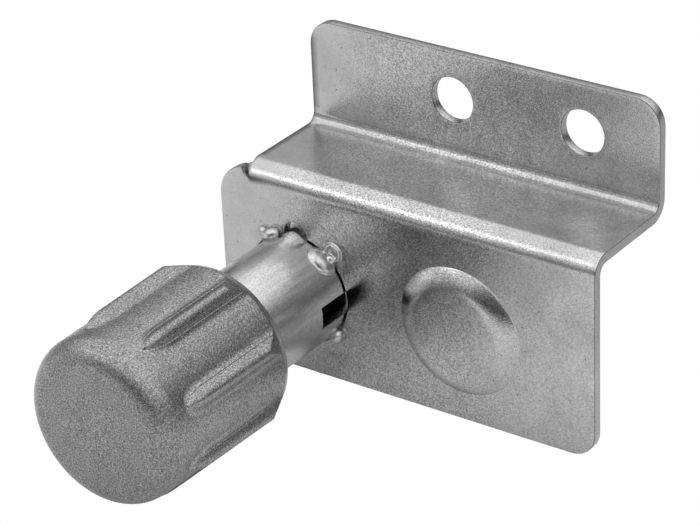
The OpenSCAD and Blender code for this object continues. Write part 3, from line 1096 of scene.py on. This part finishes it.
class Surface(Nodes):
    """A material, placed by the object's own coordinates."""

    def __init__(self, name):
        super().__init__(bpy.data.materials.new(name))
        self.shader = self.tree.nodes["Principled BSDF"]
        self.place = self.coordinates.outputs["Object"]

    def stretched(self, scale):
        node = self.tree.nodes.new("ShaderNodeMapping")
        node.inputs["Scale"].default_value = scale
        self.link(self.place, node.inputs["Vector"])
        return node.outputs["Vector"]

    def noise(self, size_mm, detail=2.0, rough=0.5, distortion=0.0, vector=None):
        node = self.tree.nodes.new("ShaderNodeTexNoise")
        node.inputs["Scale"].default_value = 1 / (size_mm * MM)
        node.inputs["Detail"].default_value = detail
        node.inputs["Roughness"].default_value = rough
        node.inputs["Distortion"].default_value = distortion
        self.link(vector or self.place, node.inputs["Vector"])
        return node.outputs["Fac"]

    def along(self, axis, start_mm, end_mm):
        """0 before start, 1 after end, along an axis of the object."""
        return self.spread(self.split(self.place)[axis], start_mm * MM, end_mm * MM)

    def with_shade_and_dirt(self, tone):
        """The tone, darkened by the painted shade and dirt that the mesh holds at its points."""
        node = self.tree.nodes.new("ShaderNodeAttribute")
        node.attribute_name = "shade_and_dirt"
        clean = self.ramp(node.outputs["Fac"], [(0.0, 1.0), (1.0, SHADE_AND_DIRT_TONE)])
        return self.mix("MULTIPLY", 1.0, tone, clean)

    def bump(self, height, distance_mm, strength=1.0, normal=None):
        node = self.tree.nodes.new("ShaderNodeBump")
        node.inputs["Distance"].default_value = distance_mm * MM
        node.inputs["Strength"].default_value = strength
        self.link(height, node.inputs["Height"])
        if normal is not None:
            self.link(normal, node.inputs["Normal"])
        return node.outputs["Normal"]

    def metal(self, tone, rough, normal):
        """Finishes a bare metal."""
        self.link(tone, self.shader.inputs["Base Color"])
        self.shader.inputs["Metallic"].default_value = 1.0
        self.link(rough, self.shader.inputs["Roughness"])
        self.link(normal, self.shader.inputs["Normal"])
        return self.owner


def scratch_arc(m):
    """A thin dark scratch round the tube, on the plate's upper right of it."""
    shift = m.tree.nodes.new("ShaderNodeMapping")
    shift.inputs["Location"].default_value = (-AXIS_X * MM, 0, -AXIS_Z * MM)
    shift.inputs["Scale"].default_value = (1, 0, 1)
    m.link(m.place, shift.inputs["Vector"])
    length = m.tree.nodes.new("ShaderNodeVectorMath")
    length.operation = "LENGTH"
    m.link(shift.outputs["Vector"], length.inputs[0])
    spot = m.split(shift.outputs["Vector"])
    off = m.math("ABSOLUTE", m.math("SUBTRACT", length.outputs["Value"], SCRATCH_R * MM))
    line = m.math("LESS_THAN", off, SCRATCH_W / 2 * MM)
    right = m.math("GREATER_THAN", spot["X"], SCRATCH_X[0] * MM)
    left = m.math("LESS_THAN", spot["X"], SCRATCH_X[1] * MM)
    above = m.math("GREATER_THAN", spot["Z"], 0)
    within = m.math("MULTIPLY", m.math("MULTIPLY", right, left), above)
    return m.ramp(m.math("MULTIPLY", line, within), [(0.0, 1.0), (1.0, 0.3)])


def zinc_plate():
    """Zinc-plated sheet: fine grain, cloudy darker patches, small pits, and painted shade and dirt in its
    hole and corners.
    """
    m = Surface("zinc_sheet")
    grain = m.noise(GRAIN, 3.0, 0.7)
    cloud = m.noise(CLOUD, 3.0, 0.6, 0.4)
    tone = m.ramp(cloud, [(0.3, 0.395), (0.7, 0.48)])
    tone = m.mix("MULTIPLY", 0.6, tone, m.ramp(m.noise(PATCH), [(0.35, 0.85), (0.62, 1.0)]))
    share = m.ramp(m.along("X", *GRAIN_X), GRAIN_SHARE)
    tone = m.mix("MULTIPLY", share, tone, m.ramp(grain, [(0.32, 0.42), (0.68, 1.53)]))
    tone = m.mix("MULTIPLY", 0.8, tone, m.ramp(m.noise(PIT, 1.0), [(0.22, 0.35), (0.29, 1.0)]))
    tone = m.mix("MULTIPLY", 1.0, tone, scratch_arc(m))
    rough = m.math("MULTIPLY_ADD", cloud, 0.08, 0.13)
    rough = m.math("ADD", rough, m.math("MULTIPLY", m.along("Z", *FLANGE_ROUGH_Z), FLANGE_ROUGH))
    return m.metal(m.with_shade_and_dirt(tone), rough, m.bump(cloud, 0.03, 0.5, m.bump(grain, 0.03)))


def zinc_tube():
    """Zinc-plated tube: smoother than the sheet, with faint marks along it, painted shadow in the plate's
    hole and painted shade inside its bore.
    """
    m = Surface("zinc_tube")
    grain = m.noise(GRAIN, 3.0, 0.7)
    drawn = m.noise(DRAWN, 3.0, 0.6, 0.0, m.stretched((1.0, 0.08, 1.0)))
    tone = m.ramp(drawn, [(0.3, 0.49), (0.7, 0.6)])
    tone = m.mix("MULTIPLY", 0.6, tone, m.ramp(grain, [(0.32, 0.6), (0.68, 1.35)]))
    return m.metal(m.with_shade_and_dirt(tone), m.math("MULTIPLY_ADD", drawn, 0.06, 0.15), m.bump(grain, 0.03))


def weld_metal():
    """Plated weld metal: smooth and bright, with darker freckles."""
    m = Surface("weld_metal")
    freckle = m.noise(FRECKLE, 3.0, 0.6, 0.8)
    tone = m.ramp(freckle, [(0.35, 0.3), (0.5, 0.5)])
    return m.metal(tone, m.math("MULTIPLY_ADD", freckle, 0.1, 0.24), m.bump(freckle, 0.02, 0.5))


def blasted_casting():
    """Blasted cast metal, dark grey with sharp bright and dark grains, and brighter where it is turned. Its
    face is painted a little darker and its side lighter, and painted shade fills its inside.
    """
    m = Surface("blasted_casting")
    grain = m.noise(GRAIN, 3.0, 0.75)
    tone = m.ramp(grain, [(0.36, 0.09), (0.5, 0.225), (0.64, 0.42)])
    tone = m.mix("MULTIPLY", 0.7, tone, m.ramp(m.noise(CAST_CLOUD), [(0.3, 0.85), (0.7, 1.05)]))
    # painted shade on the knob's face and painted light on its side
    tone = m.mix("MULTIPLY", 1.0, tone, m.ramp(m.along("Y", *KNOB_SIDE_Y), KNOB_PAINTED_SHADE_AND_LIGHT))
    on_chamfer = m.along("Y", *CHAMFER_Y)
    tone = m.mix("MIX", m.math("MULTIPLY", on_chamfer, CHAMFER_SHARE), tone, CHAMFER_TONE)
    blasted = m.math("SUBTRACT", 1.0, m.math("MULTIPLY", on_chamfer, 0.8))
    normal = m.bump(m.math("MULTIPLY", grain, blasted), 0.07)
    return m.metal(m.with_shade_and_dirt(tone), m.math("MULTIPLY_ADD", grain, 0.1, 0.17), normal)


def turned_steel():
    """Turned and plated steel: rings left by the tool."""
    m = Surface("turned_steel")
    rings = m.noise(TOOL_RING, 2.0, 0.6, 0.0, m.stretched((0.03, 1.0, 0.03)))
    tone = m.ramp(rings, [(0.3, 0.45), (0.7, 0.62)])
    tone = m.mix("MULTIPLY", 0.5, tone, m.ramp(m.noise(TOOL_GRAIN), [(0.3, 0.85), (0.7, 1.05)]))
    return m.metal(tone, m.math("MULTIPLY_ADD", rings, 0.15, 0.2), m.bump(rings, 0.01, 0.6))


def spring_wire():
    """Oiled spring wire: dark, with drawing marks."""
    m = Surface("spring_wire")
    marks = m.noise(WIRE_MARK)
    tone = m.ramp(marks, [(0.3, 0.2), (0.7, 0.34)])
    return m.metal(tone, m.math("MULTIPLY_ADD", marks, 0.2, 0.25), m.bump(marks, 0.01, 0.5))


def floor_paper():
    """White studio paper with a faint tooth, and painted shade that makes it darker behind the part. Seen
    directly it is plain white.
    """
    m = Surface("studio_paper")
    tooth = m.noise(PAPER_TOOTH)
    paper = m.ramp(tooth, [(0.0, 0.73), (1.0, 0.77)])
    # painted shade: the paper darkens from in front of the part to behind it
    shade = m.ramp(m.along("Y", *FLOOR_SHADE_Y), [(0.0, 1.0), (1.0, 0.5)])
    m.link(m.mix("MULTIPLY", 1.0, paper, shade), m.shader.inputs["Base Color"])
    m.shader.inputs["Roughness"].default_value = 0.9
    m.shader.inputs["Emission Color"].default_value = (1, 1, 1, 1)
    m.shader.inputs["Emission Strength"].default_value = FLOOR_GLOW
    m.link(m.bump(tooth, 0.01, 0.2), m.shader.inputs["Normal"])
    white = m.tree.nodes.new("ShaderNodeEmission")
    m.seen_directly(white.outputs["Emission"], m.shader.outputs["BSDF"], "Material Output")
    return m.owner


def dress_node(node, material):
    """Gives the material to a CAD node that stays in the scene."""
    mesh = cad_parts[node].data
    mesh.materials.clear()
    mesh.materials.append(material)


def make_floor(material):
    """The paper that the part stands on."""
    size = FLOOR_SIZE
    z = (BOTTOM_Z - FLOOR_GAP) * MM
    mesh = bpy.data.meshes.new("studio_floor")
    corners = [(-size, -size, z), (size, -size, z), (size, size, z), (-size, size, z)]
    mesh.from_pydata(corners, [], [(0, 1, 2, 3)])
    floor = bpy.data.objects.new("studio_floor", mesh)
    bpy.context.scene.collection.objects.link(floor)
    mesh.materials.append(material)


def soft_box(name, place, size, watts):
    """A light box that faces the part."""
    light = bpy.data.lights.new(name, "AREA")
    light.shape = "RECTANGLE"
    light.size = size[0]
    light.size_y = size[1]
    light.energy = watts
    lamp = bpy.data.objects.new(name, light)
    bpy.context.scene.collection.objects.link(lamp)
    lamp.location = place
    lamp.rotation_euler = (Vector(LIT_POINT) - Vector(place)).to_track_quat("-Z", "Y").to_euler()


def studio_world():
    """A pale studio: bright above and dark round the horizon. Seen directly it is plain white."""
    w = Nodes(bpy.data.worlds.new("studio"))
    direction = w.coordinates.outputs["Generated"]
    toward = w.split(direction)
    height = w.spread(toward["Z"], -1.0, 1.0)
    sky = w.ramp(height, [((z + 1) / 2, level) for z, level in SKY])
    behind = w.spread(toward["Y"], *DARK_BEHIND_Y, 0.0, DARK_BEHIND_SHARE)
    low = w.spread(toward["Z"], *DARK_BEHIND_Z, 1.0, 0.0)
    facing = w.tree.nodes.new("ShaderNodeVectorMath")
    facing.operation = "DOT_PRODUCT"
    facing.inputs[1].default_value = Vector(DARK_FRONT).normalized()
    w.link(direction, facing.inputs[0])
    front = w.spread(facing.outputs["Value"], *DARK_FRONT_REACH, 0.0, DARK_FRONT_SHARE)
    dark = w.math("MAXIMUM", w.math("MULTIPLY", behind, low), front)
    background = w.tree.nodes["Background"]
    background.inputs["Strength"].default_value = SKY_STRENGTH
    w.link(w.mix("MIX", dark, sky, (0, 0, 0)), background.inputs["Color"])
    plain = w.tree.nodes.new("ShaderNodeBackground")
    plain.inputs["Color"].default_value = (1, 1, 1, 1)
    w.seen_directly(plain.outputs["Background"], background.outputs["Background"], "World Output")
    return w.owner


def light_scene():
    """The studio's sky and its two light boxes."""
    bpy.context.scene.world = studio_world()
    soft_box("key_box", *KEY_BOX)
    soft_box("side_box", *SIDE_BOX)
    bpy.context.scene.view_settings.view_transform = "Standard"
    bpy.context.scene.view_settings.look = "None"


def make_camera():
    """The camera that took the photo."""
    position = Vector(CAMERA_PLACE) * MM
    target = Vector(CAMERA_TARGET) * MM
    roll = math.radians(CAMERA_ROLL)
    camera = bpy.data.cameras.new("photo_camera")
    camera.sensor_fit = "HORIZONTAL"
    camera.sensor_width = CAMERA_SENSOR
    camera.lens = CAMERA_LENS
    camera.clip_start = 0.01
    forward = (target - position).normalized()
    right = forward.cross(Vector((0, 0, 1))).normalized()
    up = right.cross(forward)
    turned_right = right * math.cos(roll) + up * math.sin(roll)
    turned_up = up * math.cos(roll) - right * math.sin(roll)
    eye = bpy.data.objects.new("photo_camera", camera)
    bpy.context.scene.collection.objects.link(eye)
    axes = Matrix((turned_right, turned_up, -forward)).transposed().to_4x4()
    eye.matrix_world = Matrix.Translation(position) @ axes
    bpy.context.scene.camera = eye


make_camera()
light_scene()
make_floor(floor_paper())

steel = turned_steel()
make_bracket(zinc_plate())
make_tube(zinc_tube())
make_tacks(weld_metal())
make_knob(blasted_casting())
make_bolt(steel)
make_spring(spring_wire())
for cad_node in ("pull_rod", "guide_pin", "end_bush", "jam_nut", "knob_insert"):
    dress_node(cad_node, steel)
